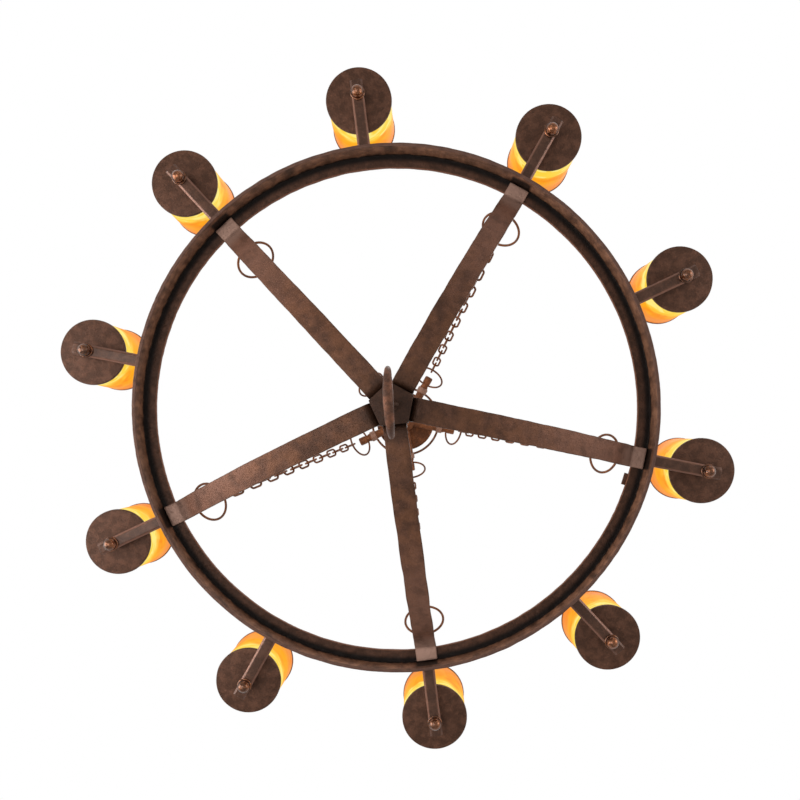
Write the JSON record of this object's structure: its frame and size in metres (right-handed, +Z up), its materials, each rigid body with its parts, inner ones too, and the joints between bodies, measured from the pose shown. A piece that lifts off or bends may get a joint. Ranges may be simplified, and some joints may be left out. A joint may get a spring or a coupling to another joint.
{
  "type": "wagon wheel chandelier",
  "caption": "Wagon wheel chandelier: iron rim on dished strap spokes, amber cylinder lamps on flat arms around it, hung on ringed chains from a pegged top hub, with a drop ring below.",
  "frame": {"origin": "middle of the hanging eye's bore at the top, where a hook holds the light", "axes": "+Z up; +X through lamp 1, spoke 1 and the hanging eye's bore"},
  "size_m": [1.0688, 1.0216, 0.8961],
  "materials": {
    "rust_iron": "mottled brown rust finish, matt with worn edges",
    "lit_iron": "the same finish, warmer and a little brighter",
    "amber_glass": "streaked amber glass, lit from inside",
    "thread_steel": "plain zinc-plated tube",
    "plain_steel": "dark oiled steel",
    "socket_plastic": "cream phenolic",
    "bulb_glass": "frosted warm white"
  },
  "bodies": {
    "frame": {"rim": "rust_iron", "hub": "rust_iron", "hub_eye": "rust_iron", "spoke_rivets": "rust_iron", "spoke_1": "rust_iron", "spoke_2": "rust_iron", "spoke_3": "rust_iron", "spoke_4": "rust_iron", "spoke_5": "rust_iron", "arm_1": "rust_iron", "arm_2": "rust_iron", "arm_3": "rust_iron", "arm_4": "rust_iron", "arm_5": "rust_iron", "arm_6": "rust_iron", "arm_7": "rust_iron", "arm_8": "rust_iron", "arm_9": "rust_iron", "arm_10": "rust_iron", "pan_1": "rust_iron", "pan_2": "rust_iron", "pan_3": "rust_iron", "pan_4": "rust_iron", "pan_5": "rust_iron", "pan_6": "rust_iron", "pan_7": "rust_iron", "pan_8": "rust_iron", "pan_9": "rust_iron", "pan_10": "rust_iron", "chain_1": "lit_iron", "chain_2": "lit_iron", "chain_3": "lit_iron", "chain_4": "lit_iron", "chain_5": "lit_iron", "chain_rings": "lit_iron", "chain_tabs": "rust_iron", "spacers": "rust_iron", "lamp_stems": "thread_steel", "dome_nuts": "lit_iron", "sockets": "socket_plastic", "bulbs": "bulb_glass", "top_plate": "lit_iron", "top_boss": "lit_iron", "pegs": "lit_iron", "hoop": "lit_iron", "hang_eye": "lit_iron", "hang_nut": "plain_steel", "wire_clip": "rust_iron"},
    "ring": {"drop_ring": "rust_iron"},
    "glass_1": {"shade_1": "amber_glass"},
    "glass_2": {"shade_2": "amber_glass"},
    "glass_3": {"shade_3": "amber_glass"},
    "glass_4": {"shade_4": "amber_glass"},
    "glass_5": {"shade_5": "amber_glass"},
    "glass_6": {"shade_6": "amber_glass"},
    "glass_7": {"shade_7": "amber_glass"},
    "glass_8": {"shade_8": "amber_glass"},
    "glass_9": {"shade_9": "amber_glass"},
    "glass_10": {"shade_10": "amber_glass"}
  },
  "joints": [
    {"name": "drop_ring_swing", "type": "hinge", "parent": "frame", "child": "ring", "pos_m": [0, 0, -0.788], "axis": [0.2419, 0.9703, 0], "range_deg": [-90, 90]},
    {"name": "shade_1_lift", "type": "slide", "parent": "frame", "child": "glass_1", "axis": [0, 0, 1], "range_m": [0, 0.12]},
    {"name": "shade_2_lift", "type": "slide", "parent": "frame", "child": "glass_2", "axis": [0, 0, 1], "range_m": [0, 0.12]},
    {"name": "shade_3_lift", "type": "slide", "parent": "frame", "child": "glass_3", "axis": [0, 0, 1], "range_m": [0, 0.12]},
    {"name": "shade_4_lift", "type": "slide", "parent": "frame", "child": "glass_4", "axis": [0, 0, 1], "range_m": [0, 0.12]},
    {"name": "shade_5_lift", "type": "slide", "parent": "frame", "child": "glass_5", "axis": [0, 0, 1], "range_m": [0, 0.12]},
    {"name": "shade_6_lift", "type": "slide", "parent": "frame", "child": "glass_6", "axis": [0, 0, 1], "range_m": [0, 0.12]},
    {"name": "shade_7_lift", "type": "slide", "parent": "frame", "child": "glass_7", "axis": [0, 0, 1], "range_m": [0, 0.12]},
    {"name": "shade_8_lift", "type": "slide", "parent": "frame", "child": "glass_8", "axis": [0, 0, 1], "range_m": [0, 0.12]},
    {"name": "shade_9_lift", "type": "slide", "parent": "frame", "child": "glass_9", "axis": [0, 0, 1], "range_m": [0, 0.12]},
    {"name": "shade_10_lift", "type": "slide", "parent": "frame", "child": "glass_10", "axis": [0, 0, 1], "range_m": [0, 0.12]}
  ]
}
